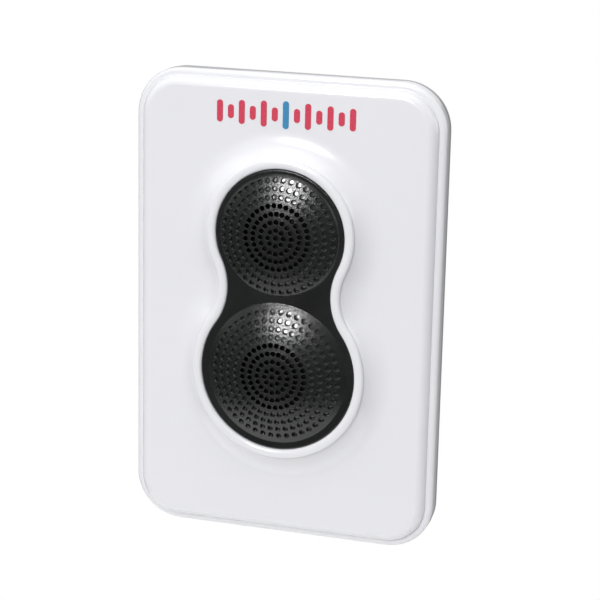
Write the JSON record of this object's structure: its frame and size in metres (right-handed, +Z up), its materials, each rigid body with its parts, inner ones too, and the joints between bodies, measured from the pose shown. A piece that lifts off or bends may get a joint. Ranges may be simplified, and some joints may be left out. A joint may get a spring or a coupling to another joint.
{
  "type": "ultrasonic pest repeller",
  "caption": "Slim wall-hung ultrasonic pest repeller with a figure-of-eight domed grille over two piezo sounders.",
  "frame": {"origin": "midway between the two keyhole seats, in the plane of the wall that the rubber pads touch", "axes": "+Z up, -Y out of the wall towards the front, +X to the right as the front is seen"},
  "size_m": [0.087, 0.033, 0.13],
  "materials": {
    "white_gloss": "gloss",
    "black_satin": "fine grained satin",
    "grey_plastic": "satin",
    "print_ink": "screen printed",
    "black_plastic": "moulded",
    "paper_cone": "pressed paper",
    "brass": "plain",
    "ceramic": "fired ceramic",
    "tinned_metal": "tinned",
    "wire_insulation": "flexible PVC",
    "board_laminate": "solder mask",
    "copper_wire": "enamelled wire",
    "can_sleeve": "shrink sleeve",
    "film_dip": "dipped",
    "resistor_coat": "lacquered",
    "lamp_lens": "clear tinted",
    "zinc_screw": "zinc plated",
    "rubber_pad": "matt",
    "label_foil": "matt foil"
  },
  "bodies": {
    "case": {"front_cover": "white_gloss", "grille": "black_satin", "rear_cover": "grey_plastic", "printed_mark": "print_ink", "sounder_cup_upper": "black_plastic", "sounder_cone_upper": "paper_cone", "piezo_plate_upper": "brass", "piezo_ceramic_upper": "ceramic", "solder_tags_upper": "tinned_metal", "leads_upper": "wire_insulation", "sounder_cup_lower": "black_plastic", "sounder_cone_lower": "paper_cone", "piezo_plate_lower": "brass", "piezo_ceramic_lower": "ceramic", "solder_tags_lower": "tinned_metal", "leads_lower": "wire_insulation", "main_board": "board_laminate", "oscillator_chip": "black_plastic", "driver_transistors": "black_plastic", "coil_bobbins": "black_plastic", "coil_windings": "copper_wire", "electrolytic_capacitors": "can_sleeve", "film_capacitors": "film_dip", "resistors": "resistor_coat", "indicator_lamp": "lamp_lens", "power_socket": "black_plastic", "power_socket_pin": "tinned_metal", "switch_body": "tinned_metal", "case_screws": "zinc_screw", "board_screws": "zinc_screw", "grille_screws": "zinc_screw", "sounder_screws": "zinc_screw", "wall_pads": "rubber_pad", "rating_plate": "label_foil"},
    "mode_knob": {"switch_knob": "black_plastic"}
  },
  "joints": [
    {"name": "mode_slide", "type": "slide", "parent": "case", "child": "mode_knob", "axis": [1, 0, 0], "range_m": [-0.002, 0.002]}
  ]
}
